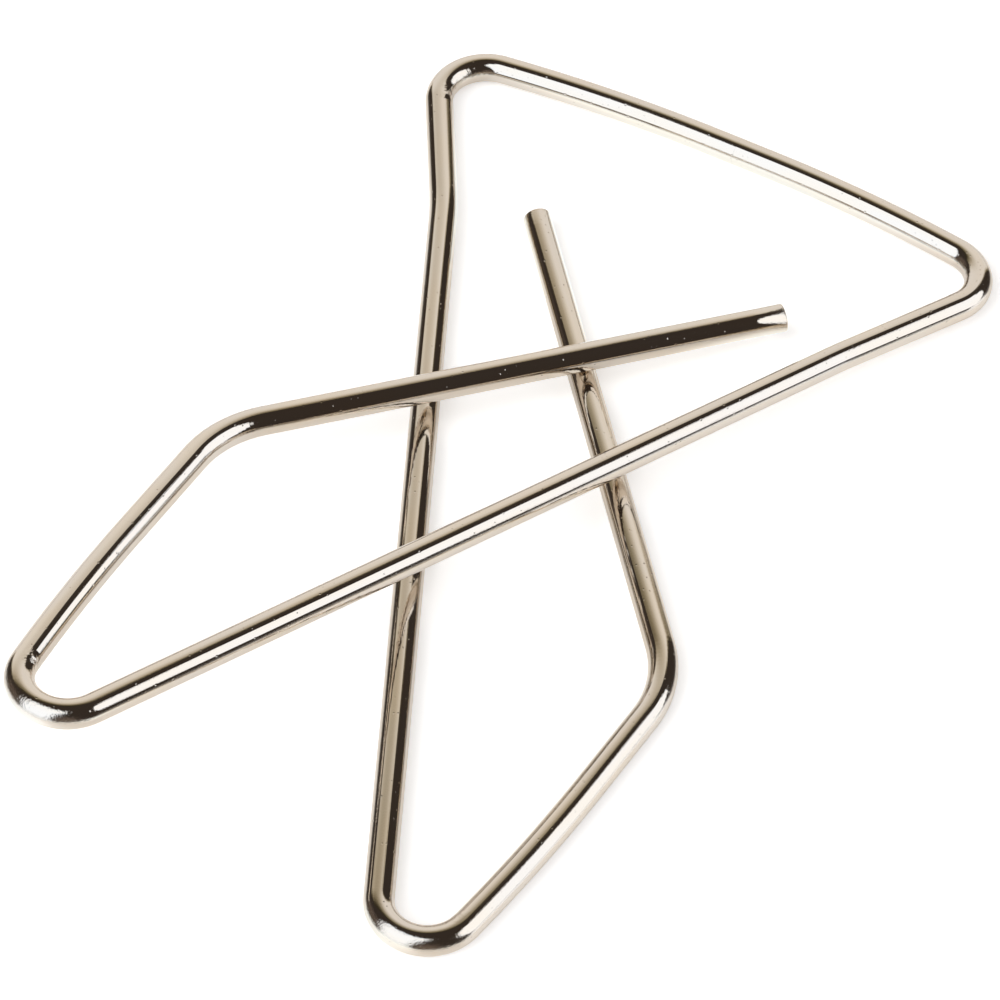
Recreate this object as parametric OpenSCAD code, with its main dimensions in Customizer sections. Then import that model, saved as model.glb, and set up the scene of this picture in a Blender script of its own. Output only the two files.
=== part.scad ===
// Butterfly paper clamp, bent from one length of round spring wire.
// Two wings share a back bar. Each wing runs from its corner along a long arm to the nose, turns back
// along a short leg to the knee, and ends in a free tongue. The wings cross each other four times, and
// the upper tongue lies on the lower one, so paper pushed in between the wings is held by the tongues.
// The clamp lies on its lower wing. The bar is at the back, +Y, and the noses point to the front, -Y.
// Each straight run and each bend of the wire is a node, and neighbours meet face to face.
// Sizes are taken on the wire's centre line: "out" is the distance to the side of the clamp's middle,
// "reach" is the distance forward of the middle of the back bar, along the wing.

/* [Wire] */
// Diameter of the wire
wire_d = 1.85; // [1.5:0.05:2.1]
// Edge break on the two cut ends of the wire
end_break = 0.15; // [0.05:0.05:0.3]
// Air left between the two tongues where they cross
tongue_gap = 0.06; // [0.04:0.01:0.2]

/* [Back bar] */
// In from the line of the arms to the middle of the bow that turns the bar forward to a corner
bow_in = 10.75; // [9.75:0.05:11.75]
// Reach of both corners, which is how far the bar bows
bow_reach = 1.7; // [1.2:0.05:2.2]
// Radius of the corner bends
corner_r = 3.1; // [2.4:0.05:3.8]

/* [Arms] */
// Out to the point where the straight of an arm would meet the corners' line
arm_out = 20.25; // [18.5:0.05:22]
// Reach of the slight kink where an arm becomes straight
kink_reach = 13.8; // [11:0.1:17]
// Radius of that kink
kink_r = 27; // [15:1:40]

/* [Legs] */
// Radius of the nose bends
nose_r = 2.85; // [2.3:0.05:3.2]
// Outward bow of the legs, at the middle of their run
leg_bow = 0.75; // [0.5:0.05:1]
// Radius of the knee bends
knee_r = 7.4; // [5:0.1:10]

/* [Upper wing] */
// How far the right corner stands outside the line of its arm
upper_kick = 0.65; // [0.3:0.05:1.3]
// Out to the nose
upper_nose_out = 14.05; // [13:0.05:15]
// Reach of the nose
upper_nose_reach = 72.7; // [70:0.1:78]
// Out to the knee
upper_knee_out = 15.35; // [14.5:0.05:16.2]
// Reach of the knee
upper_knee_reach = 39.85; // [36:0.05:42]
// Out to the end of the tongue, past the middle
upper_tip_out = 9.8; // [7:0.1:11.5]
// Reach of the end of the tongue
upper_tip_reach = 12.35; // [10:0.05:14.5]

/* [Lower wing] */
// How far the left corner stands outside the line of its arm
lower_kick = 1.6; // [0.8:0.05:2.2]
// Out to the nose
lower_nose_out = 13.8; // [12.8:0.05:14.8]
// Reach of the nose
lower_nose_reach = 71.35; // [69:0.05:77]
// Out to the knee
lower_knee_out = 17.2; // [16.3:0.05:18]
// Reach of the knee
lower_knee_reach = 41.1; // [37:0.05:43]
// Out to the end of the tongue, past the middle
lower_tip_out = 8.65; // [6:0.05:10.5]
// Reach of the end of the tongue
lower_tip_reach = 11.65; // [9.5:0.05:14]

/* [Hidden] */
$fn = 64;
nickel = [0.78, 0.74, 0.69];
right = 1;
left = -1;

// Places of the bends along a wing, counted from the middle of the bar
BOW = 1;
CORNER = 2;
KINK = 3;
NOSE = 4;
LEG = 5;
KNEE = 6;
TIP = 7;

// Plan of each wing as the points where its straight runs would meet
upper = plan(right, upper_kick, [upper_nose_out, upper_nose_reach],
             [upper_knee_out, upper_knee_reach], [upper_tip_out, upper_tip_reach]);
lower = plan(left, lower_kick, [lower_nose_out, lower_nose_reach],
             [lower_knee_out, lower_knee_reach], [lower_tip_out, lower_tip_reach]);

// The upper wing is turned up about the bar until its tongue clears the lower one
crossing = meet(upper[KNEE], upper[TIP], lower[KNEE], lower[TIP]);
tilt = asin((wire_d + tongue_gap) / -crossing.y);

// Box around the clamp, whose middle is put over the origin
box_right = bend_centre(upper, CORNER).x + corner_r + wire_d / 2;
box_left = bend_centre(lower, CORNER).x - corner_r - wire_d / 2;
box_back = wire_d / 2;
upper_front = (bend_centre(upper, NOSE).y - nose_r) * cos(tilt) - wire_d / 2;
lower_front = bend_centre(lower, NOSE).y - nose_r - wire_d / 2;
box_front = min(upper_front, lower_front);

// Points of a wing whose corner is on the given side, from the middle of the bar to the tongue's end
function plan(side, kick, nose, knee, tip) =
    let (
        corner_pt = [side * (arm_out + kick), -bow_reach],
        aim_pt = [side * arm_out, -bow_reach],
        nose_pt = [-side * nose.x, -nose.y],
        knee_pt = [-side * knee.x, -knee.y],
        tip_pt = [side * tip.x, -tip.y],
        kink_share = (kink_reach - bow_reach) / (nose.y - bow_reach),
        leg = unit(knee_pt - nose_pt),
        leg_pt = (nose_pt + knee_pt) / 2 + leg_bow * side * [-leg.y, leg.x]
    )
    [
        [0, 0], [side * (arm_out - bow_in), 0], corner_pt, aim_pt + kink_share * (nose_pt - aim_pt),
        nose_pt, leg_pt, knee_pt, tip_pt
    ];

function unit(v) = v / norm(v);
function cross2(a, b) = a.x * b.y - a.y * b.x;

// Point where the line through a and b crosses the line through c and d
function meet(a, b, c, d) = a + (b - a) * cross2(c - a, d - c) / cross2(b - a, d - c);

// Straight run of a wing that leads to point i
function run_dir(wing, i) = unit(wing[i] - wing[i - 1]);
function heading(wing, i) = atan2(run_dir(wing, i).y, run_dir(wing, i).x);

// Turn of the bend at point i, positive to the left
function turn(wing, i) =
    let (a = run_dir(wing, i), b = run_dir(wing, i + 1))
    atan2(cross2(a, b), a * b);

// Radius of the bend at point i: the bar's bow fills the run up to the corner bend, and the leg's bow
// fills the run from the nose bend
function radius(wing, i) =
    i == BOW ? filling(wing, BOW, CORNER, norm(wing[CORNER] - wing[BOW])) :
    i == CORNER ? corner_r :
    i == KINK ? kink_r :
    i == NOSE ? nose_r :
    i == LEG ? filling(wing, LEG, NOSE, norm(wing[LEG] - wing[NOSE])) :
    knee_r;
function filling(wing, i, neighbour, length) =
    (length - taken(wing, neighbour)) / tan(abs(turn(wing, i)) / 2);

// Length of each of its two runs that the bend at point i takes up
function taken(wing, i) =
    i == 0 || i == TIP ? 0 : radius(wing, i) * tan(abs(turn(wing, i)) / 2);

// Ends of the straight run that leads to point i, and the centre of the bend there
function run_start(wing, i) = wing[i - 1] + run_dir(wing, i) * taken(wing, i - 1);
function run_end(wing, i) = wing[i] - run_dir(wing, i) * taken(wing, i);
function bend_centre(wing, i) =
    let (d = run_dir(wing, i))
    run_end(wing, i) + sign(turn(wing, i)) * radius(wing, i) * [-d.y, d.x];

// Straight wire that leads to point i, with the edge of its far end broken if it is cut there
module run(wing, i, break = 0) {
    length = norm(run_end(wing, i) - run_start(wing, i));
    translate(run_start(wing, i))
        rotate([0, 90, heading(wing, i)]) {
            cylinder(d = wire_d, h = length - break);
            if (break > 0)
                translate([0, 0, length - break])
                    cylinder(d1 = wire_d, d2 = wire_d - 2 * break, h = break);
        }
}

// Bent wire at point i
module bend(wing, i) {
    sweep = turn(wing, i);
    first = heading(wing, i) - 90 * sign(sweep) + min(sweep, 0);
    translate(bend_centre(wing, i))
        rotate(first)
            rotate_extrude(angle = abs(sweep))
                translate([radius(wing, i), 0])
                    circle(d = wire_d);
}

// The lower wing lies on the table
module lying() {
    color(nickel)
        translate([-(box_right + box_left) / 2, -(box_back + box_front) / 2, wire_d / 2])
            children();
}

// The upper wing is turned up about the middle of the bar
module raised() {
    lying() rotate([-tilt, 0, 0]) children();
}

module left_bar() { lying() run(lower, BOW); }
module left_bow() { lying() bend(lower, BOW); }
module left_corner() { lying() bend(lower, CORNER); }
module lower_arm_root() { lying() run(lower, KINK); }
module lower_arm_kink() { lying() bend(lower, KINK); }
module lower_arm() { lying() run(lower, NOSE); }
module lower_nose() { lying() bend(lower, NOSE); }
module lower_leg_bow() { lying() bend(lower, LEG); }
module lower_leg() { lying() run(lower, KNEE); }
module lower_knee() { lying() bend(lower, KNEE); }
module lower_tongue() { lying() run(lower, TIP, end_break); }

module right_bar() { raised() run(upper, BOW); }
module right_bow() { raised() bend(upper, BOW); }
module right_corner() { raised() bend(upper, CORNER); }
module upper_arm_root() { raised() run(upper, KINK); }
module upper_arm_kink() { raised() bend(upper, KINK); }
module upper_arm() { raised() run(upper, NOSE); }
module upper_nose() { raised() bend(upper, NOSE); }
module upper_leg_bow() { raised() bend(upper, LEG); }
module upper_leg() { raised() run(upper, KNEE); }
module upper_knee() { raised() bend(upper, KNEE); }
module upper_tongue() { raised() run(upper, TIP, end_break); }

left_bar();
left_bow();
left_corner();
lower_arm_root();
lower_arm_kink();
lower_arm();
lower_nose();
lower_leg_bow();
lower_leg();
lower_knee();
lower_tongue();
right_bar();
right_bow();
right_corner();
upper_arm_root();
upper_arm_kink();
upper_arm();
upper_nose();
upper_leg_bow();
upper_leg();
upper_knee();
upper_tongue();
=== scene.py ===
"""Dresses a butterfly paper clamp: one polished, nickel-plated spring wire on a pale studio floor.

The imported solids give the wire's course. Each rigid body of the clamp becomes one continuous wire,
swept along the cut ends of its solids, so no seam shows between a straight run and a bend. The
plating is laid out on the wire as it was before bending, so drawing marks follow it round every
bend. The strain of the bends decides where the plating is grained and where it is wrinkled, and
the end of each tight bend is scarred where the forming pin let go.
"""

import logging
import math
from collections.abc import Iterable
from dataclasses import dataclass, field
from enum import Enum
from typing import ClassVar

import bmesh
import bpy
from mathutils import Matrix, Vector


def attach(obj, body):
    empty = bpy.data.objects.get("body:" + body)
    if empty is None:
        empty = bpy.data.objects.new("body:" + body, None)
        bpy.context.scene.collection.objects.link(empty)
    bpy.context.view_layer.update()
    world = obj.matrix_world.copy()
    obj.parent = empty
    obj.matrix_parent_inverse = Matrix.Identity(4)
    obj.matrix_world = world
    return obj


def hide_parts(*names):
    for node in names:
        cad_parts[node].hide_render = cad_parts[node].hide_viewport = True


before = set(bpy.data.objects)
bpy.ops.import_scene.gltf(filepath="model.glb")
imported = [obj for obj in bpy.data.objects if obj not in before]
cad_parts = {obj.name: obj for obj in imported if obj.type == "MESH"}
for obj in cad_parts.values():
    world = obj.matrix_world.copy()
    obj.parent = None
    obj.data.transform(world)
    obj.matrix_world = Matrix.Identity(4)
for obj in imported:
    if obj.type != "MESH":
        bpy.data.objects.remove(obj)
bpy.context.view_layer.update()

log = logging.getLogger("paper_clamp")

Socket = bpy.types.NodeSocket
Ring = list[bmesh.types.BMEdge]
Colour = tuple[float, float, float, float]
Triple = tuple[float, float, float]
Span = tuple[float, float]

MM = 0.001
WHITE: Colour = (1.0, 1.0, 1.0, 1.0)

# Attributes of the swept wire that its finish reads: the place on the straight wire in millimetres,
# the strain of a bend, the tear of a sheared tip and the scar of the forming pin.
DRAWN = "drawn"
STRAIN = "strain"
TORN = "torn"
SCAR = "scar"


def new_object(bm: bmesh.types.BMesh, name: str) -> bpy.types.Object:
    """Turns a mesh under construction into an object of the scene.

    Args:
        bm: the mesh, which is used up.
        name: name of the object.

    Returns:
        The object, at the origin.
    """
    mesh = bpy.data.meshes.new(name)
    bm.to_mesh(mesh)
    bm.free()
    made = bpy.data.objects.new(name, mesh)
    bpy.context.scene.collection.objects.link(made)
    return made


class Wing(Enum):
    """The clamp's two wings."""

    UPPER = ("upper", "right", 1.0)
    LOWER = ("lower", "left", -1.0)

    def __init__(self, label: str, bar_side: str, sign: float) -> None:
        """Keeps what sets the wing apart.

        Args:
            label: word that starts the names of its nodes.
            bar_side: word that starts the names of the nodes in its half of the back bar.
            sign: sign of lengths along its wire, counted from the middle of the bar.
        """
        self.label = label
        self.bar_side = bar_side
        self.sign = sign


@dataclass(frozen=True)
class CutEnd:
    """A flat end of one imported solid."""

    middle: Vector
    facing: Vector
    radius: float

    MERGE_DISTANCE: ClassVar[float] = 1e-7
    FLAT_ANGLE: ClassVar[float] = math.radians(0.1)
    FEWEST_SIDES: ClassVar[int] = 10
    ROUNDNESS: ClassVar[float] = 0.98

    @classmethod
    def of_node(cls, node: str) -> list["CutEnd"]:
        """Finds the two flat ends of a solid: the round faces left once flat neighbours are joined.

        Args:
            node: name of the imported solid.

        Returns:
            Its flat ends, in no order.
        """
        bm = bmesh.new()
        bm.from_mesh(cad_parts[node].data)
        bmesh.ops.remove_doubles(bm, verts=bm.verts, dist=cls.MERGE_DISTANCE)
        bmesh.ops.dissolve_limit(
            bm, angle_limit=cls.FLAT_ANGLE, verts=bm.verts, edges=bm.edges,
        )
        ends = []
        for face in bm.faces:
            middle = face.calc_center_median()
            reach = [(vert.co - middle).length for vert in face.verts]
            if len(reach) >= cls.FEWEST_SIDES and min(reach) > cls.ROUNDNESS * max(reach):
                ends.append(cls(middle, face.normal.copy(), max(reach)))
        bm.free()
        return ends


@dataclass(frozen=True)
class Stretch:
    """One straight run or one bend of the wire, walked from its start to its end."""

    start: Vector
    end: Vector
    way: Vector
    end_way: Vector

    STRAIGHT_UNDER: ClassVar[float] = math.radians(0.2)

    @property
    def turn(self) -> float:
        """Angle between the headings at the two ends."""
        return self.way.angle(self.end_way)

    @property
    def is_bend(self) -> bool:
        """Whether the stretch is bent."""
        return self.turn > self.STRAIGHT_UNDER

    @property
    def axis(self) -> Vector:
        """Axis that a bend turns about."""
        return self.way.cross(self.end_way).normalized()

    @property
    def bend_radius(self) -> float:
        """Radius of a bend's centre line."""
        return (self.end - self.start).length / (2.0 * math.sin(self.turn / 2.0))

    @property
    def pivot(self) -> Vector:
        """Centre of a bend."""
        return self.start + self.axis.cross(self.way) * self.bend_radius

    @property
    def length(self) -> float:
        """Length along the centre line."""
        return self.bend_radius * self.turn if self.is_bend else (self.end - self.start).length

    def at(self, share: float) -> tuple[Vector, Vector]:
        """Gives a point of the centre line.

        Args:
            share: how far along the stretch, from 0 to 1.

        Returns:
            The point and the heading there.
        """
        if not self.is_bend:
            return self.start.lerp(self.end, share), self.way
        turned = Matrix.Rotation(self.turn * share, 3, self.axis)
        return self.pivot + turned @ (self.start - self.pivot), turned @ self.way


def read_course(nodes: list[str]) -> list[Stretch]:
    """Walks a chain of solids from the free end of the first to the far end of the last.

    Args:
        nodes: names of the solids, in order along the wire.

    Returns:
        One stretch for each solid, each starting where the one before it ends.
    """
    ends = [CutEnd.of_node(node) for node in nodes]
    after = ends[1]

    def nearest(end: CutEnd) -> float:
        """Distance from an end of the first solid to the second solid."""
        return min((end.middle - other.middle).length for other in after)

    here = max(ends[0], key=nearest).middle
    course = []
    for pair in ends:
        first, last = sorted(pair, key=lambda end: (end.middle - here).length)
        course.append(Stretch(first.middle, last.middle, -first.facing, last.facing))
        here = last.middle
    return course


@dataclass(frozen=True)
class ShearedTip:
    """How a free end of the wire was cut: the blade drew its top down before it broke through.

    Attributes:
        drawn_down: how far the top came down at the very end.
        lean: how far the blade stood to the side of straight up.
        over: length of wire that the blade bent.
        curl: power of the bent length's curve.
        tear: power by which the plating tears towards the end.
        edge_break: width of the broken rim.
        rim_segments: steps across the rim.
        rim_room: room before the rim that has no rings, in widths of the rim.
        ring_step: distance between rings over the bent length.
    """

    drawn_down: float
    lean: float
    over: float = 1.5 * MM
    curl: float = 2.0
    tear: float = 2.0
    edge_break: float = 0.12 * MM
    rim_segments: int = 4
    rim_room: float = 2.0
    ring_step: float = 0.1 * MM

    def ring_shares(self, length: float) -> list[float]:
        """Chooses where rings stand over the worked end of the wire's last run.

        Args:
            length: length of the run.

        Returns:
            How far along the run each ring stands, ending with 1.
        """
        first = 1.0 - self.over / length
        last = 1.0 - self.rim_room * self.edge_break / length
        steps = math.ceil((last - first) * length / self.ring_step)
        return [first + (last - first) * step / steps for step in range(steps + 1)] + [1.0]


class WireMarks:
    """The attributes that a wire under construction carries on its corners."""

    def __init__(self, bm: bmesh.types.BMesh) -> None:
        """Adds the attributes to a mesh.

        Args:
            bm: mesh under construction.
        """
        self.drawn = bm.verts.layers.float_vector.new(DRAWN)
        self.strain = bm.verts.layers.float.new(STRAIN)
        self.torn = bm.verts.layers.float.new(TORN)
        self.scar = bm.verts.layers.float.new(SCAR)


@dataclass
class BentWire:
    """A rigid length of the clamp's wire, swept ring by ring along its solids.

    Attributes:
        name: name of the piece.
        body: rigid body that it rides on.
        wing: wing that it belongs to.
        nodes: solids that it stands for, in order along the wire.
        laid_from: length of the wing's wire before this one.
        tip: how its free end was cut, if it has one.
        sides: corners of a ring.
        straight_step: longest step along the wire.
        bend_step: largest turn between two rings of a bend.
        fewest_straight_steps: fewest steps along a straight run.
        fewest_bend_steps: fewest steps along a bend.
        joint_gap: room left at an end that meets the next body's wire.
        strain_easing: power by which strain eases off at a bend's ends.
        pinned_under: radius under which a bend was formed round a pin.
        pin_reach: length of the scar that the pin left.
        course: the runs and bends of the wire.
        radius: radius of the wire.
        up: upward side of the wing.
        marks: attributes of the mesh under construction.
    """

    name: str
    body: str
    wing: Wing
    nodes: list[str]
    laid_from: float
    tip: ShearedTip | None = None
    sides: int = 96
    straight_step: float = 0.5 * MM
    bend_step: float = math.radians(2.5)
    fewest_straight_steps: int = 2
    fewest_bend_steps: int = 4
    joint_gap: float = 0.002 * MM
    strain_easing: float = 0.5
    pinned_under: float = 4.0 * MM
    pin_reach: float = 1.3 * MM
    course: list[Stretch] = field(init=False)
    radius: float = field(init=False)
    up: Vector = field(init=False)
    marks: WireMarks = field(init=False)

    def __post_init__(self) -> None:
        """Reads the course, the wire's radius and the wing's upward side from the solids."""
        self.course = read_course(self.nodes)
        self.radius = max(end.radius for end in CutEnd.of_node(self.nodes[0]))
        bends = [stretch for stretch in self.course if stretch.is_bend]
        tightest = min(bends, key=lambda stretch: stretch.bend_radius)
        self.up = tightest.axis if tightest.axis.z > 0 else -tightest.axis

    @property
    def length(self) -> float:
        """Length of the wire along its centre line."""
        return sum(stretch.length for stretch in self.course)

    def build(self) -> bpy.types.Object:
        """Sweeps the wire and closes its ends.

        Returns:
            The finished object, which stands for its solids and rides on their body.
        """
        bm = bmesh.new()
        self.marks = WireMarks(bm)
        ring = self._first_ring(bm)
        self._cap(bm, ring)
        walked = 0.0
        for stretch in self.course:
            ring = self._sweep(bm, ring, stretch, walked)
            walked += stretch.length
        if self.tip:
            self._shear(bm, ring, self.tip)
        else:
            self._cap(bm, ring)
        bmesh.ops.recalc_face_normals(bm, faces=bm.faces)
        piece = new_object(bm, self.name)
        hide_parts(*self.nodes)
        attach(piece, self.body)
        return piece

    def dress(self, piece: bpy.types.Object, finish: bpy.types.Material) -> None:
        """Gives the wire its plated finish."""
        piece.data.materials.append(finish)

    def _first_ring(self, bm: bmesh.types.BMesh) -> Ring:
        """Draws the wire's section at the start of its course.

        Args:
            bm: mesh under construction.

        Returns:
            The edges of the ring.
        """
        first = self.course[0]
        aside = first.way.cross(self.up)
        turned = Matrix((self.up, aside, first.way)).transposed().to_4x4()
        place = Matrix.Translation(first.start + first.way * self.joint_gap) @ turned
        made = bmesh.ops.create_circle(
            bm, cap_ends=False, segments=self.sides, radius=self.radius, matrix=place,
        )
        self._lay_out(made["verts"], first, 0.0, 0.0)
        return list(dict.fromkeys(edge for vert in made["verts"] for edge in vert.link_edges))

    def _sweep(
        self, bm: bmesh.types.BMesh, ring: Ring, stretch: Stretch, walked: float
    ) -> Ring:
        """Carries a ring along one stretch of the wire.

        Args:
            bm: mesh under construction.
            ring: edges of the ring at the stretch's start.
            stretch: the run or bend to follow.
            walked: length of wire already swept.

        Returns:
            The edges of the ring at the stretch's end.
        """
        travel = stretch.end - self._middle(ring)
        if stretch is self.course[-1] and not self.tip:
            travel = travel - stretch.end_way * self.joint_gap
        here = 0.0
        for share in self._shares(stretch):
            if stretch.is_bend:
                made = bmesh.ops.spin(
                    bm, geom=ring, cent=stretch.pivot, axis=stretch.axis,
                    angle=stretch.turn * (share - here), steps=1, use_duplicate=False,
                )["geom_last"]
            else:
                made = bmesh.ops.extrude_edge_only(bm, edges=ring)["geom"]
            verts = {part for part in made if isinstance(part, bmesh.types.BMVert)}
            edges = [part for part in made if isinstance(part, bmesh.types.BMEdge)]
            ring = [edge for edge in edges if verts.issuperset(edge.verts)]
            if not stretch.is_bend:
                bmesh.ops.translate(bm, verts=list(verts), vec=travel * (share - here))
            self._lay_out(verts, stretch, share, walked)
            here = share
        return ring

    def _shares(self, stretch: Stretch) -> list[float]:
        """Chooses where rings stand along a stretch: evenly, and closer where a tip is worked.

        Args:
            stretch: the run or bend.

        Returns:
            How far along the stretch each ring stands, ending with 1.
        """
        steps = max(self.fewest_straight_steps, math.ceil(stretch.length / self.straight_step))
        if stretch.is_bend:
            steps = max(self.fewest_bend_steps, steps, math.ceil(stretch.turn / self.bend_step))
        shares = [step / steps for step in range(1, steps + 1)]
        if self.tip and stretch is self.course[-1]:
            worked = self.tip.ring_shares(stretch.length)
            shares = [share for share in shares if share < worked[0]] + worked
        return shares

    @staticmethod
    def _middle(ring: Ring) -> Vector:
        """Middle of a ring."""
        corners = [vert.co for edge in ring for vert in edge.verts]
        return sum(corners, Vector()) / len(corners)

    def _lay_out(
        self, verts: Iterable[bmesh.types.BMVert], stretch: Stretch, share: float, walked: float
    ) -> None:
        """Notes where each corner lay on the straight wire, and what the bend did to it.

        Args:
            verts: corners of one ring.
            stretch: run or bend that the ring belongs to.
            share: how far along the stretch the ring stands, from 0 to 1.
            walked: length of wire before the stretch.
        """
        middle, way = stretch.at(share)
        aside = way.cross(self.up) * self.wing.sign
        along = self.wing.sign * (self.laid_from + walked + share * stretch.length)
        outward = Vector()
        curve = 0.0
        pinned = 0.0
        if stretch.is_bend:
            outward = (middle - stretch.pivot).normalized()
            curve = self._curve(stretch, share)
            pinned = self._pinned(stretch, share)
        for vert in verts:
            off = vert.co - middle
            out = off.dot(outward)
            vert[self.marks.drawn] = Vector((along, off.dot(self.up), off.dot(aside))) / MM
            vert[self.marks.strain] = out * curve
            vert[self.marks.scar] = pinned * max(0.0, -out / self.radius)

    def _curve(self, bend: Stretch, share: float) -> float:
        """Tells how sharply the wire was bent at a place in a bend.

        Args:
            bend: the bend.
            share: how far along it, from 0 to 1.

        Returns:
            The curvature, eased to 0 at the bend's two ends.
        """
        if not 0.0 < share < 1.0:
            return 0.0
        return math.sin(math.pi * share) ** self.strain_easing / bend.bend_radius

    def _pinned(self, bend: Stretch, share: float) -> float:
        """Tells how hard the forming pin pressed at a place in a bend.

        Args:
            bend: the bend.
            share: how far along it, from 0 to 1.

        Returns:
            1 at the far end of a tight bend, falling to 0 before it, and 0 in a slight bend.
        """
        if bend.bend_radius >= self.pinned_under:
            return 0.0
        return max(0.0, 1.0 - (1.0 - share) * bend.length / self.pin_reach)

    def _cap(self, bm: bmesh.types.BMesh, ring: Ring) -> None:
        """Closes a ring with one flat face and keeps its rim sharp.

        Args:
            bm: mesh under construction.
            ring: edges of the ring.
        """
        for face in bmesh.ops.edgeloop_fill(bm, edges=ring)["faces"]:
            face.smooth = False

    def _shear(self, bm: bmesh.types.BMesh, ring: Ring, tip: ShearedTip) -> None:
        """Closes the free end as a blade leaves it: top drawn down, rim broken, face torn.

        Args:
            bm: mesh under construction.
            ring: edges of the ring at the free end.
            tip: how the end was cut.
        """
        last = self.course[-1]
        top = (self.up + last.end_way.cross(self.up) * tip.lean).normalized()
        for vert in bm.verts:
            back = (last.end - vert.co).dot(last.end_way)
            if back < tip.over:
                share = 1.0 - back / tip.over
                off = vert.co - (last.end - last.end_way * back)
                height = max(0.0, off.dot(top) / self.radius)
                vert.co -= top * tip.drawn_down * share ** tip.curl * height
                vert[self.marks.torn] = share ** tip.tear
        self._cap(bm, ring)
        made = bmesh.ops.bevel(
            bm, geom=ring, offset=tip.edge_break, segments=tip.rim_segments, profile=0.5,
            affect="EDGES", material=-1,
        )
        for vert in made["verts"]:
            vert[self.marks.torn] = 1.0


@dataclass(frozen=True)
class Grain:
    """An uneven pattern: lumps per unit along each coordinate, and finer layers added on top."""

    lumps: Triple
    detail: float = 2.0


class NodeBench:
    """A node tree with short ways to add nodes and join them."""

    MIX_INPUTS: ClassVar[tuple[int, int, int]] = (0, 6, 7)
    MIX_RESULT: ClassVar[int] = 2

    def __init__(self, tree: bpy.types.NodeTree) -> None:
        """Takes over a tree and empties it."""
        self.tree = tree
        tree.nodes.clear()

    def add(self, kind: str, settings: dict | None = None, **inputs: object) -> bpy.types.Node:
        """Adds a node.

        Args:
            kind: Blender's name of the node type.
            settings: properties to set on the node.
            **inputs: values or sockets for its inputs, named as the inputs are, with _ for a space.

        Returns:
            The new node.
        """
        node = self.tree.nodes.new(kind)
        for key, value in (settings or {}).items():
            setattr(node, key, value)
        for key, value in inputs.items():
            self.feed(node.inputs[key.replace("_", " ")], value)
        return node

    def feed(self, socket: Socket, value: object) -> None:
        """Joins a socket to an input, or sets the input's value.

        Args:
            socket: the input.
            value: socket that it reads, or the value that it takes.
        """
        if isinstance(value, Socket):
            self.tree.links.new(value, socket)
        else:
            socket.default_value = value

    def feed_all(self, node: bpy.types.Node, values: Iterable[object]) -> None:
        """Feeds a node's inputs in their order, for nodes whose inputs share a name.

        Args:
            node: the node.
            values: values or sockets, one for each input from the first on.
        """
        for socket, value in zip(node.inputs, values):
            self.feed(socket, value)

    def maths(self, operation: str, *terms: object) -> Socket:
        """Adds a maths node.

        Args:
            operation: Blender's name of the operation.
            *terms: numbers or sockets, in the node's order.

        Returns:
            The node's result.
        """
        node = self.add("ShaderNodeMath", {"operation": operation})
        self.feed_all(node, terms)
        return node.outputs[0]

    def largest(self, first: object, *others: object) -> Socket:
        """Keeps the largest of several terms.

        Args:
            first: a number or socket.
            *others: more of them.

        Returns:
            The largest.
        """
        for other in others:
            first = self.maths("MAXIMUM", first, other)
        return first

    def attribute(self, name: str) -> bpy.types.Node:
        """Adds a node that reads an attribute of the mesh."""
        return self.add("ShaderNodeAttribute", {"attribute_name": name})

    def noise(self, place: Socket, grain: Grain) -> Socket:
        """Adds a noise pattern.

        Args:
            place: coordinates that it reads.
            grain: the pattern.

        Returns:
            The noise, about 0.5 in the middle.
        """
        mapped = self.add("ShaderNodeMapping", Vector=place, Scale=grain.lumps).outputs[0]
        cloud = self.add("ShaderNodeTexNoise", Vector=mapped, Scale=1.0, Detail=grain.detail)
        return cloud.outputs["Fac"]

    def ramp(self, value: Socket, low: float, high: float) -> Socket:
        """Adds a smooth step.

        Args:
            value: what is read.
            low: value where the step starts from 0.
            high: value where it reaches 1.

        Returns:
            The step, from 0 to 1.
        """
        node = self.add(
            "ShaderNodeMapRange", {"interpolation_type": "SMOOTHSTEP"},
            Value=value, From_Min=low, From_Max=high, To_Min=0.0, To_Max=1.0,
        )
        return node.outputs[0]

    def mix(self, share: object, first: object, second: object) -> Socket:
        """Adds a mix of two colours.

        Args:
            share: how much of the second colour shows.
            first: colour or socket at 0.
            second: colour or socket at 1.

        Returns:
            The mixed colour.
        """
        node = self.add("ShaderNodeMix", {"data_type": "RGBA"})
        for index, value in zip(self.MIX_INPUTS, (share, first, second)):
            self.feed(node.inputs[index], value)
        return node.outputs[self.MIX_RESULT]


def new_material(name: str) -> tuple[bpy.types.Material, NodeBench]:
    """Starts a material.

    Args:
        name: name of the material.

    Returns:
        The material, and its empty node tree.
    """
    material = bpy.data.materials.new(name)
    material.use_nodes = True
    return material, NodeBench(material.node_tree)


@dataclass(frozen=True)
class PlatingMaps:
    """What the finish reads at each place: the wire's own marks and the patterns laid on it."""

    drawn: Socket
    torn: Socket
    scar: Socket
    streaks: Socket
    peel: Socket
    pits: Socket
    stretched: Socket
    crushed: Socket
    rippled: Socket


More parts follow.
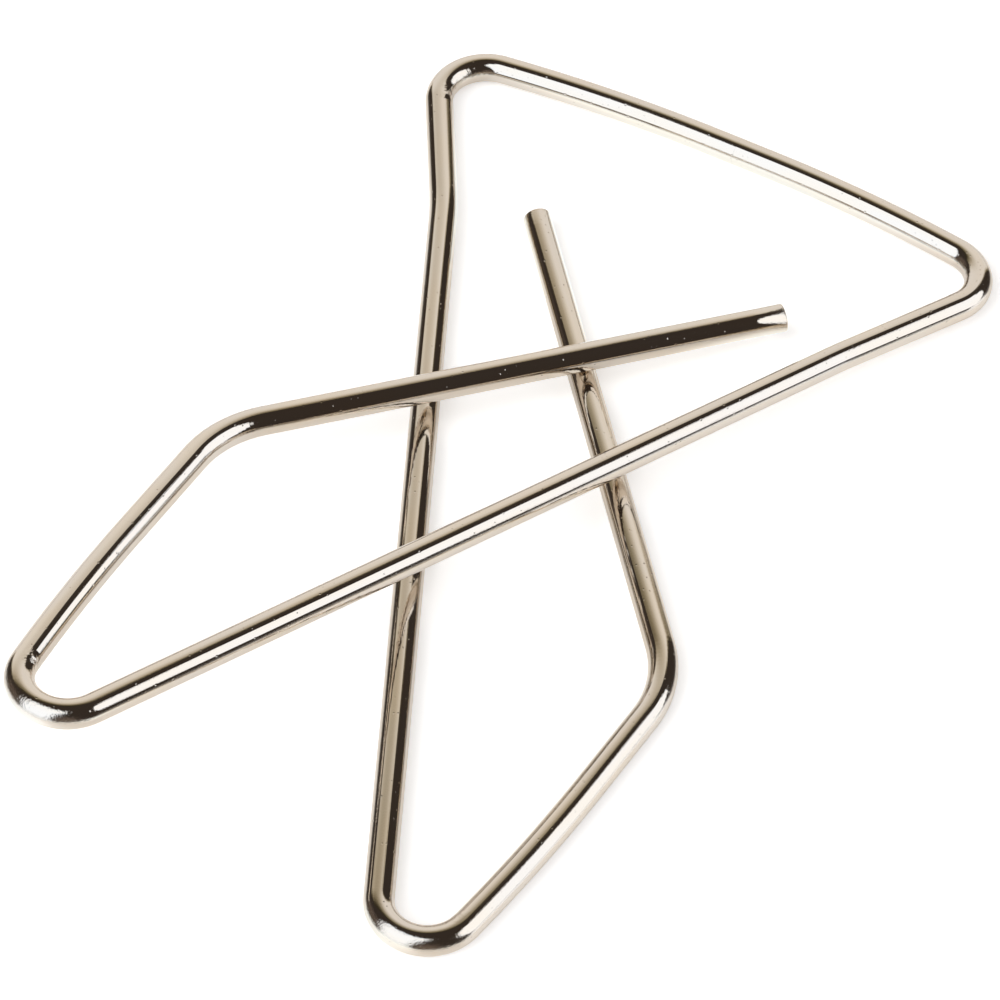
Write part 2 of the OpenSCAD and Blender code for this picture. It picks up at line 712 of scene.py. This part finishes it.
@dataclass(frozen=True)
class PolishedNickel:
    """Bright nickel plate on drawn and bent spring wire.

    Lengths and heights are in millimetres on the wire before it was bent. A span gives where a
    smooth step starts and where it is full.
    """

    name: str = "polished_nickel"

    # Tint.
    warm: Colour = (0.690, 0.602, 0.495, 1.0)
    pale: Colour = (0.675, 0.607, 0.527, 1.0)
    patches: Grain = Grain((0.16, 0.9, 0.9))
    patch_edge: Span = (0.3, 0.7)

    # Polish, and the marks of drawing the wire.
    polish: float = 0.055
    dulled: float = 0.16
    streaks: Grain = Grain((0.035, 7.0, 7.0), 3.0)
    streak_edge: Span = (0.45, 0.75)
    streak_wear: float = 0.35
    streak_height: float = 0.0018
    hairs: Grain = Grain((0.12, 26.0, 26.0))
    hair_height: float = 0.0008

    # Outside of the bends, where the plating was stretched.
    stretched_from: Span = (0.06, 0.22)
    stretch_wear: float = 0.25
    rubbed_from: Span = (30.0, 60.0)
    peel: Grain = Grain((10.0, 10.0, 10.0))
    peel_height: float = 0.0014
    ripple_height: float = 0.016
    frost_edge: Span = (0.44, 0.58)
    frosting: float = 0.05

    # Inside of the bends, where it was crushed and scarred, and the torn tips.
    crushed_from: Span = (0.12, 0.26)
    creases: Grain = Grain((4.0, 2.6, 2.6))
    crease_height: float = 0.032
    dents: Grain = Grain((2.6, 3.4, 3.4), 3.0)
    dent_height: float = 0.14
    torn_wear: float = 0.6

    # Pits and specks.
    pit_cells: Triple = (2.6, 3.2, 3.2)
    pit_edge: Span = (0.24, 0.04)
    pit_crowd: Grain = Grain((0.25, 0.9, 0.9), 1.0)
    pit_rarity: float = 1.24
    pit_tint: Colour = (0.42, 0.35, 0.29, 1.0)
    pit_stain: float = 0.3
    pit_depth: float = 0.008

    def material(self) -> bpy.types.Material:
        """Makes the finish.

        Returns:
            The material.
        """
        material, bench = new_material(self.name)
        maps = self._maps(bench)
        metal = bench.add(
            "ShaderNodeBsdfPrincipled", Metallic=1.0, Base_Color=self._colour(bench, maps),
            Roughness=self._roughness(bench, maps), Normal=self._relief(bench, maps),
        )
        bench.add("ShaderNodeOutputMaterial", Surface=metal.outputs[0])
        return material

    def _maps(self, bench: NodeBench) -> PlatingMaps:
        """Reads the wire's marks, and lays on it the patterns that the finish uses more than once.

        Args:
            bench: node tree of the finish.

        Returns:
            The marks and patterns.
        """
        drawn = bench.attribute(DRAWN).outputs["Vector"]
        strain = bench.attribute(STRAIN).outputs["Fac"]
        torn = bench.attribute(TORN).outputs["Fac"]
        along = bench.add("ShaderNodeSeparateXYZ", Vector=drawn).outputs["X"]
        stretched = bench.ramp(strain, *self.stretched_from)
        rubbed = bench.ramp(bench.maths("ABSOLUTE", along), *self.rubbed_from)
        return PlatingMaps(
            drawn=drawn,
            torn=torn,
            scar=bench.attribute(SCAR).outputs["Fac"],
            streaks=bench.noise(drawn, self.streaks),
            peel=bench.noise(drawn, self.peel),
            pits=self._pits(bench, drawn),
            stretched=stretched,
            crushed=bench.ramp(bench.maths("MULTIPLY", strain, -1.0), *self.crushed_from),
            rippled=bench.largest(bench.maths("MULTIPLY", stretched, rubbed), torn),
        )

    def _pits(self, bench: NodeBench, drawn: Socket) -> Socket:
        """Scatters small pits and specks over the plating.

        Args:
            bench: node tree of the finish.
            drawn: place on the straight wire.

        Returns:
            1 in a pit, 0 outside.
        """
        mapped = bench.add("ShaderNodeMapping", Vector=drawn, Scale=self.pit_cells).outputs[0]
        cells = bench.add("ShaderNodeTexVoronoi", Vector=mapped, Scale=1.0)
        inside = bench.ramp(cells.outputs["Distance"], *self.pit_edge)
        chance = bench.add("ShaderNodeSeparateColor", Color=cells.outputs["Color"]).outputs[0]
        chance = bench.maths("ADD", chance, bench.noise(drawn, self.pit_crowd))
        picked = bench.maths("GREATER_THAN", chance, self.pit_rarity)
        return bench.maths("MULTIPLY", inside, picked)

    def _colour(self, bench: NodeBench, maps: PlatingMaps) -> Socket:
        """Tints the plating: warmer and paler patches, darker pits.

        Args:
            bench: node tree of the finish.
            maps: the wire's marks and patterns.

        Returns:
            The colour.
        """
        patches = bench.noise(maps.drawn, self.patches)
        colour = bench.mix(bench.ramp(patches, *self.patch_edge), self.warm, self.pale)
        return bench.mix(bench.maths("MULTIPLY", maps.pits, self.pit_stain), colour, self.pit_tint)

    def _roughness(self, bench: NodeBench, maps: PlatingMaps) -> Socket:
        """Dulls the polish by streaks, bends, pits and the torn tips, and frosts the peel.

        Args:
            bench: node tree of the finish.
            maps: the wire's marks and patterns.

        Returns:
            The roughness.
        """
        streaked = bench.ramp(maps.streaks, *self.streak_edge)
        wear = bench.largest(
            bench.maths("MULTIPLY", streaked, self.streak_wear),
            bench.maths("MULTIPLY", maps.stretched, self.stretch_wear),
            maps.crushed,
            maps.pits,
            bench.maths("MULTIPLY", maps.torn, self.torn_wear),
        )
        rough = bench.maths("MULTIPLY_ADD", wear, self.dulled - self.polish, self.polish)
        frosted = bench.maths("MULTIPLY", maps.rippled, bench.ramp(maps.peel, *self.frost_edge))
        return bench.maths("MULTIPLY_ADD", frosted, self.frosting, rough)

    def _relief(self, bench: NodeBench, maps: PlatingMaps) -> Socket:
        """Raises peel, drawing lines, wrinkles and the pin's dents, and sinks the pits.

        Args:
            bench: node tree of the finish.
            maps: the wire's marks and patterns.

        Returns:
            The normal.
        """
        hairs = bench.noise(maps.drawn, self.hairs)
        creases = bench.maths("MULTIPLY", bench.noise(maps.drawn, self.creases), maps.crushed)
        dents = bench.maths("MULTIPLY", bench.noise(maps.drawn, self.dents), maps.scar)
        ripple = bench.maths("MULTIPLY_ADD", maps.rippled, self.ripple_height, self.peel_height)
        height = bench.maths("MULTIPLY", maps.peel, ripple)
        for pattern, raised in (
            (maps.streaks, self.streak_height),
            (hairs, self.hair_height),
            (creases, self.crease_height),
            (maps.pits, -self.pit_depth),
            (dents, self.dent_height),
        ):
            height = bench.maths("MULTIPLY_ADD", pattern, raised, height)
        return bench.add("ShaderNodeBump", Height=height, Distance=MM, Strength=1.0).outputs[0]


def heading(azimuth: float, elevation: float) -> Vector:
    """Gives a direction away from the clamp.

    Args:
        azimuth: degrees round from the front, towards the right.
        elevation: degrees above the floor.

    Returns:
        The unit direction.
    """
    turn, rise = math.radians(azimuth), math.radians(elevation)
    level = math.cos(rise)
    return Vector((math.sin(turn) * level, -math.cos(turn) * level, math.sin(rise)))


@dataclass(frozen=True)
class Screen:
    """A panel that faces the clamp: a soft box, a fill lamp or the back wall.

    Angles are in degrees. An oval panel fills an ellipse of its width and height, and one that
    isn't mirrored gives light but doesn't show in reflections.
    """

    name: str
    azimuth: float
    elevation: float
    width: float
    height: float
    glow: float
    roll: float = 0.0
    distance: float = 1.3
    tint: Triple = (1.0, 1.0, 1.0)
    oval: bool = False
    mirrored: bool = True

    @property
    def face(self) -> float:
        """Area of the panel."""
        return self.width * self.height * (math.pi / 4.0 if self.oval else 1.0)

    def place(self) -> Matrix:
        """Works out where the panel stands.

        Returns:
            A frame whose Z axis points away from the clamp, with its X axis along the width.
        """
        away = heading(self.azimuth, self.elevation)
        level = Vector((0.0, 0.0, 1.0)).cross(away).normalized()
        turned = Matrix((level, away.cross(level), away)).transposed().to_4x4()
        roll = Matrix.Rotation(math.radians(self.roll), 4, "Z")
        return Matrix.Translation(away * self.distance) @ turned @ roll

    def hang_lamp(self) -> bpy.types.Object:
        """Hangs an area lamp, with the power that makes its face glow at the given level.

        Returns:
            The lamp.
        """
        lamp = bpy.data.lights.new(self.name, "AREA")
        lamp.shape = "ELLIPSE" if self.oval else "RECTANGLE"
        lamp.size = self.width
        lamp.size_y = self.height
        lamp.color = self.tint
        lamp.energy = self.glow * math.pi * self.face
        hung = bpy.data.objects.new(self.name, lamp)
        bpy.context.scene.collection.objects.link(hung)
        hung.matrix_world = self.place()
        hung.visible_camera = False
        hung.visible_glossy = self.mirrored
        return hung


@dataclass(frozen=True)
class RayKinds:
    """Which rays show a surface: the camera's own, and those by way of a mirror or glass."""

    camera: Socket
    mirrored: Socket

    @classmethod
    def of(cls, bench: NodeBench) -> "RayKinds":
        """Tells the rays that reach a surface apart.

        Args:
            bench: node tree of the surface.

        Returns:
            A socket for each kind, 1 for its rays and 0 for all others.
        """
        path = bench.add("ShaderNodeLightPath").outputs
        mirrored = bench.largest(path["Is Glossy Ray"], path["Is Transmission Ray"])
        return cls(path["Is Camera Ray"], mirrored)


def set_stage(bm: bmesh.types.BMesh, name: str, material: bpy.types.Material) -> bpy.types.Object:
    """Turns a mesh into a piece of the stage.

    Args:
        bm: the mesh, which is used up.
        name: name of the piece.
        material: its material.

    Returns:
        The piece.
    """
    piece = new_object(bm, name)
    piece.data.materials.append(material)
    return piece


@dataclass(frozen=True)
class PaintedLightPool:
    """A painted pool of light: floor by the wire's bright side, glowing brighter in reflections."""

    middle: Span
    size: Span

    EDGE: ClassVar[Span] = (1.15, 0.7)

    def share(self, bench: NodeBench, place: Socket) -> Socket:
        """Tells how far a place on the floor is inside the pool.

        Args:
            bench: node tree of the floor.
            place: place on the floor.

        Returns:
            1 in the pool, falling to 0 past its edge.
        """
        wide, deep = self.size
        shift = (-self.middle[0] / wide, -self.middle[1] / deep, 0.0)
        shrink = (1.0 / wide, 1.0 / deep, 0.0)
        scaled = bench.add("ShaderNodeMapping", Vector=place, Location=shift, Scale=shrink)
        off = bench.add("ShaderNodeVectorMath", {"operation": "LENGTH"}, Vector=scaled.outputs[0])
        return bench.ramp(off.outputs["Value"], *self.EDGE)


@dataclass(frozen=True)
class PaleFloor:
    """The floor: white to the camera and in reflections, still darkened by shadows, with painted
    pools of light that only reflections show.
    """

    name: str = "studio_floor"
    radius: float = 3.5
    sides: int = 96
    drop: float = 0.02 * MM
    colour: Colour = (0.88, 0.84, 0.79, 1.0)
    seen_glow: float = 0.48
    mirrored_glow: float = 0.34
    # Painted pools of light: patches of floor that glow brighter and bluer, only in reflections.
    painted_pools: tuple[PaintedLightPool, ...] = (
        PaintedLightPool((0.0, 24.0 * MM), (18.0 * MM, 10.0 * MM)),
        PaintedLightPool((-20.0 * MM, -38.0 * MM), (9.0 * MM, 9.0 * MM)),
        PaintedLightPool((8.0 * MM, -38.0 * MM), (7.0 * MM, 7.0 * MM)),
    )
    painted_pool_glow: float = 0.63
    painted_pool_tint: Colour = (0.74, 0.89, 1.0, 1.0)
    gloss_colour: Colour = (0.9, 0.9, 0.9, 1.0)
    gloss_roughness: float = 0.18
    gloss_from: Span = (0.58, 0.92)
    least_gloss: float = 0.12

    def build(self) -> bpy.types.Object:
        """Lays the floor.

        Returns:
            The floor.
        """
        bm = bmesh.new()
        down = Matrix.Translation((0.0, 0.0, -self.drop))
        bmesh.ops.create_circle(
            bm, cap_ends=True, segments=self.sides, radius=self.radius, matrix=down,
        )
        material, bench = new_material(self.name)
        rays = RayKinds.of(bench)
        coated = bench.add("ShaderNodeMixShader")
        gloss = bench.add(
            "ShaderNodeBsdfGlossy", Color=self.gloss_colour, Roughness=self.gloss_roughness,
        )
        pale = self._pale(bench, rays)
        bench.feed_all(coated, (self._sheen(bench, rays), pale, gloss.outputs[0]))
        bench.add("ShaderNodeOutputMaterial", Surface=coated.outputs[0])
        return set_stage(bm, self.name, material)

    def _pale(self, bench: NodeBench, rays: RayKinds) -> Socket:
        """Makes the matt floor, whitened where seen or mirrored, with painted pools of light in
        reflections.

        Args:
            bench: node tree of the floor.
            rays: the rays that show the floor.

        Returns:
            The shader.
        """
        place = bench.add("ShaderNodeTexCoord").outputs["Object"]
        # Painted light: the pools add a brighter, bluer glow that only reflections show.
        painted_pool_share = bench.largest(0.0, *(pool.share(bench, place) for pool in self.painted_pools))
        painted_pool_share = bench.maths("MULTIPLY", painted_pool_share, rays.mirrored)
        glow = bench.maths("MULTIPLY", rays.mirrored, self.mirrored_glow)
        glow = bench.maths("MULTIPLY_ADD", painted_pool_share, self.painted_pool_glow, glow)
        glow = bench.maths("MULTIPLY_ADD", rays.camera, self.seen_glow, glow)
        tint = bench.mix(painted_pool_share, WHITE, self.painted_pool_tint)
        white = bench.add("ShaderNodeEmission", Color=tint, Strength=glow)
        matt = bench.add("ShaderNodeBsdfDiffuse", Color=self.colour)
        pale = bench.add("ShaderNodeAddShader")
        bench.feed_all(pale, (matt.outputs[0], white.outputs[0]))
        return pale.outputs[0]

    def _sheen(self, bench: NodeBench, rays: RayKinds) -> Socket:
        """Tells how glossy the floor is in reflections: more so at a grazing angle.

        Args:
            bench: node tree of the floor.
            rays: the rays that show the floor.

        Returns:
            The share of gloss.
        """
        facing = bench.add("ShaderNodeLayerWeight").outputs["Facing"]
        grazing = bench.ramp(facing, *self.gloss_from)
        sheen = bench.maths("MULTIPLY_ADD", grazing, 1.0 - self.least_gloss, self.least_gloss)
        return bench.maths("MULTIPLY", rays.mirrored, sheen)


@dataclass(frozen=True)
class DimPatch:
    """A part of the dark room that is a little lighter. Angles are in degrees."""

    azimuth: float
    elevation: float
    half_width: float
    glow: float

    def share(self, bench: NodeBench, place: Socket, radius: float) -> Socket:
        """Tells how far a place in the room is inside the patch.

        Args:
            bench: node tree of the room.
            place: place on the room's wall.
            radius: radius of the room.

        Returns:
            1 in the patch's middle, falling to 0 at its edge.
        """
        towards = bench.add("ShaderNodeVectorMath", {"operation": "DOT_PRODUCT"})
        bench.feed_all(towards, (place, heading(self.azimuth, self.elevation) / radius))
        edge = math.cos(math.radians(self.half_width))
        return bench.ramp(towards.outputs["Value"], edge, 1.0)


@dataclass(frozen=True)
class DarkRoom:
    """The dark room, which only reflections show, with a dim patch on either side of the left box."""

    name: str = "dark_room"
    radius: float = 3.0
    segments: tuple[int, int] = (64, 32)
    hem: float = 0.02
    gloom: float = 0.047
    colour: Colour = (1.0, 0.80, 0.68, 1.0)
    patches: tuple[DimPatch, ...] = (
        DimPatch(azimuth=-70.0, elevation=12.0, half_width=26.0, glow=0.09),
        DimPatch(azimuth=28.0, elevation=8.0, half_width=24.0, glow=0.12),
    )

    def build(self) -> bpy.types.Object:
        """Hangs the room round the clamp, down to just below the floor.

        Returns:
            The room.
        """
        bm = bmesh.new()
        columns, rows = self.segments
        bmesh.ops.create_uvsphere(bm, u_segments=columns, v_segments=rows, radius=self.radius)
        bmesh.ops.bisect_plane(
            bm, geom=[*bm.verts, *bm.edges, *bm.faces], plane_co=(0.0, 0.0, -self.hem),
            plane_no=(0.0, 0.0, -1.0), clear_outer=True,
        )
        material, bench = new_material(self.name)
        place = bench.add("ShaderNodeTexCoord").outputs["Object"]
        level = self.gloom
        for patch in self.patches:
            share = patch.share(bench, place, self.radius)
            level = bench.maths("MULTIPLY_ADD", share, patch.glow, level)
        glow = bench.add("ShaderNodeEmission", Color=self.colour, Strength=level)
        bench.add("ShaderNodeOutputMaterial", Surface=glow.outputs[0])
        room = set_stage(bm, self.name, material)
        room.visible_camera = False
        return room


@dataclass(frozen=True)
class BackWall:
    """The white back wall, which fades into the dark room towards its top and sides."""

    panel: Screen = Screen(
        "back_wall", azimuth=-152.0, elevation=13.0, width=2.08, height=4.00, glow=1.01, roll=-20.0,
    )
    colour: Colour = (1.0, 0.98, 0.96, 1.0)
    dusk: Colour = (1.0, 0.84, 0.50, 1.0)
    side_fade: float = 0.08
    top_fade: Span = (0.964, 0.612)

    def build(self, gloom: float) -> bpy.types.Object:
        """Stands the wall up.

        Args:
            gloom: glow of the dark room.

        Returns:
            The wall.
        """
        bm = bmesh.new()
        bm.loops.layers.uv.new("wall")
        bmesh.ops.create_grid(bm, x_segments=1, y_segments=1, size=0.5, calc_uvs=True)
        bmesh.ops.scale(bm, vec=(self.panel.width, self.panel.height, 1.0), verts=bm.verts)
        bmesh.ops.transform(bm, matrix=self.panel.place(), verts=bm.verts)
        material, bench = new_material(self.panel.name)
        laid_flat = bench.add("ShaderNodeTexCoord").outputs["UV"]
        spot = bench.add("ShaderNodeSeparateXYZ", Vector=laid_flat).outputs
        left = bench.ramp(spot["X"], 0.0, self.side_fade)
        right = bench.ramp(spot["X"], 1.0, 1.0 - self.side_fade)
        sides = bench.maths("MULTIPLY", left, right)
        lit = bench.maths("MULTIPLY", sides, bench.ramp(spot["Y"], *self.top_fade))
        level = bench.maths("MULTIPLY_ADD", lit, self.panel.glow - gloom, gloom)
        tint = bench.mix(lit, self.dusk, self.colour)
        glow = bench.add("ShaderNodeEmission", Color=tint, Strength=level)
        bench.add("ShaderNodeOutputMaterial", Surface=glow.outputs[0])
        wall = set_stage(bm, self.panel.name, material)
        wall.visible_camera = False
        return wall


@dataclass(frozen=True)
class Studio:
    """The pale floor, the dark room, the white back wall, the lamps and the world."""

    floor: PaleFloor = PaleFloor()
    room: DarkRoom = DarkRoom()
    wall: BackWall = BackWall()
    lamps: tuple[Screen, ...] = (
        Screen(
            "left_box", azimuth=-21.0, elevation=36.0, width=1.30, height=2.15, glow=1.62,
            tint=(0.86, 0.96, 1.10),
        ),
        Screen(
            "right_box", azimuth=112.0, elevation=28.5, width=1.30, height=1.42, glow=1.55,
            roll=-6.0, tint=(0.90, 0.97, 1.08), oval=True,
        ),
        Screen(
            "key_fill", azimuth=-21.0, elevation=42.0, width=1.30, height=2.00, glow=1.60,
            distance=1.4, mirrored=False,
        ),
    )
    world_light: float = 0.5
    world_seen: float = 1.0

    def build(self) -> list[bpy.types.Object]:
        """Sets up the stage, the lamps and the world.

        Returns:
            The pieces of the stage and the lamps.
        """
        stage = [self.floor.build(), self.room.build(), self.wall.build(self.room.gloom)]
        hung = [lamp.hang_lamp() for lamp in self.lamps]
        self._world()
        return stage + hung

    def _world(self) -> None:
        """Makes the world white where it is seen, directly or in a reflection."""
        world = bpy.data.worlds.new("studio")
        bpy.context.scene.world = world
        world.use_nodes = True
        bench = NodeBench(world.node_tree)
        rays = RayKinds.of(bench)
        seen = bench.largest(rays.camera, rays.mirrored)
        more = self.world_seen - self.world_light
        strength = bench.maths("MULTIPLY_ADD", seen, more, self.world_light)
        glow = bench.add("ShaderNodeBackground", Color=WHITE, Strength=strength)
        bench.add("ShaderNodeOutputWorld", Surface=glow.outputs[0])


@dataclass(frozen=True)
class PhotoCamera:
    """The camera at the photograph's place. Angles are in degrees."""

    name: str = "photo_camera"
    azimuth: float = 29.584
    elevation: float = 50.157
    distance: float = 0.313
    target: Triple = (0.0020589, -0.0023133, 0.002495)
    focal_share: float = 5.0878
    sensor: float = 36.0
    clip: Span = (0.01, 10.0)

    def build(self) -> bpy.types.Object:
        """Stands the camera up and makes it the scene's own.

        Returns:
            The camera.
        """
        data = bpy.data.cameras.new(self.name)
        data.sensor_fit = "HORIZONTAL"
        data.sensor_width = self.sensor
        data.lens = self.focal_share * self.sensor
        data.clip_start, data.clip_end = self.clip
        camera = bpy.data.objects.new(self.name, data)
        bpy.context.scene.collection.objects.link(camera)
        back = heading(self.azimuth, self.elevation)
        camera.location = Vector(self.target) + back * self.distance
        camera.rotation_mode = "QUATERNION"
        camera.rotation_quaternion = (-back).to_track_quat("-Z", "Y")
        bpy.context.scene.camera = camera
        return camera


@dataclass(frozen=True)
class ClampWing:
    """One wing of the clamp: the wire from the middle of the bar to the leg, and its free end."""

    wing: Wing
    tip: ShearedTip

    BAR: ClassVar[tuple[str, ...]] = ("bar", "bow", "corner")
    ARM: ClassVar[tuple[str, ...]] = ("arm_root", "arm_kink", "arm", "nose", "leg_bow")
    FREE_END: ClassVar[tuple[str, ...]] = ("leg", "knee", "tongue")

    def build(self, finish: bpy.types.Material) -> list[bpy.types.Object]:
        """Sweeps and dresses the wing's two rigid lengths.

        Args:
            finish: material of the wire.

        Returns:
            The two pieces.
        """
        label = self.wing.label
        root = [f"{self.wing.bar_side}_{part}" for part in self.BAR]
        root += [f"{label}_{part}" for part in self.ARM]
        free = [f"{label}_{part}" for part in self.FREE_END]
        arm = BentWire(f"{label}_wing_wire", f"{label}_wing", self.wing, root, 0.0)
        tongue = BentWire(
            f"{label}_tongue_wire", f"{label}_tongue_end", self.wing, free, arm.length, self.tip,
        )
        pieces = []
        for wire in (arm, tongue):
            piece = wire.build()
            wire.dress(piece, finish)
            pieces.append(piece)
        return pieces


def main() -> None:
    """Builds the camera, the clamp's wire and the studio."""
    logging.basicConfig(level=logging.INFO, format="%(name)s: %(message)s")
    bpy.context.scene.view_settings.view_transform = "Standard"
    log.info("camera: %s", PhotoCamera().build().name)
    finish = PolishedNickel().material()
    lower_tip = ShearedTip(drawn_down=0.07 * MM, lean=-0.8)
    upper_tip = ShearedTip(
        drawn_down=0.32 * MM, lean=0.62, over=2.2 * MM, curl=1.6, edge_break=0.14 * MM,
    )
    for wing in (ClampWing(Wing.LOWER, lower_tip), ClampWing(Wing.UPPER, upper_tip)):
        for piece in wing.build(finish):
            log.info("wire: %s, %d faces", piece.name, len(piece.data.polygons))
    for piece in Studio().build():
        log.info("studio: %s", piece.name)


if __name__ == "__main__":
    main()
